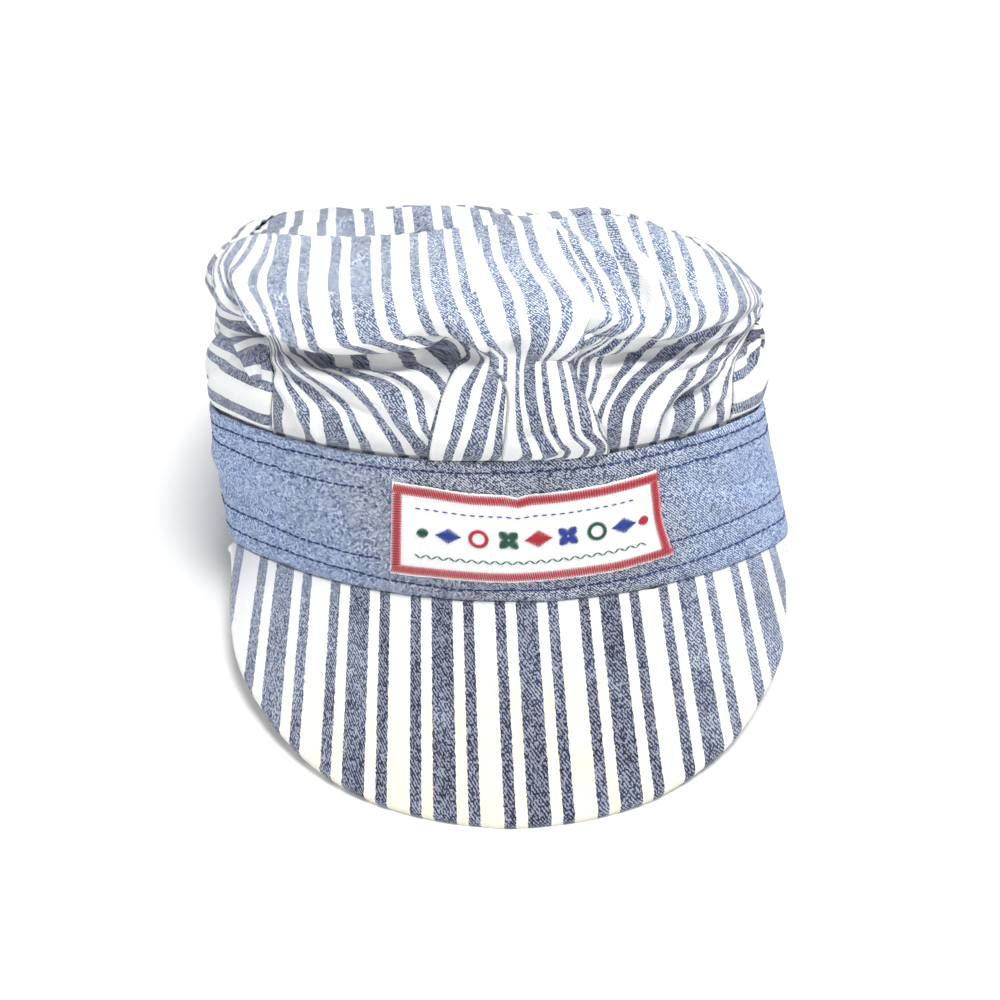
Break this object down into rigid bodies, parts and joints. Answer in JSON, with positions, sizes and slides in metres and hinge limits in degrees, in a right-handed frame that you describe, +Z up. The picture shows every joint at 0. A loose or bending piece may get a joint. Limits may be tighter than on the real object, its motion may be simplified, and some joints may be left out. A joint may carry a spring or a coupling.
{
  "type": "railroad engineer cap",
  "caption": "Soft striped cotton engineer cap with a pleated, slumped crown, chambray headband, woven label panel and curved stiff peak.",
  "frame": {"origin": "middle of the footprint, on the surface that the cap rests on", "axes": "+Z up from the surface, -Y the way the peak points, +X to the right in the picture"},
  "size_m": [0.1894, 0.2416, 0.1119],
  "materials": {
    "striped_cotton": "matt cotton, blue and white hickory stripe",
    "chambray": "matt blue chambray with navy stitching",
    "label": "woven label, white field in a red border"
  },
  "bodies": {
    "root": {"visor": "striped_cotton", "headband": "chambray", "label_patch": "label", "crown_front": "striped_cotton", "crown_side_left": "striped_cotton", "crown_side_right": "striped_cotton", "crown_top": "striped_cotton"}
  },
  "joints": []
}
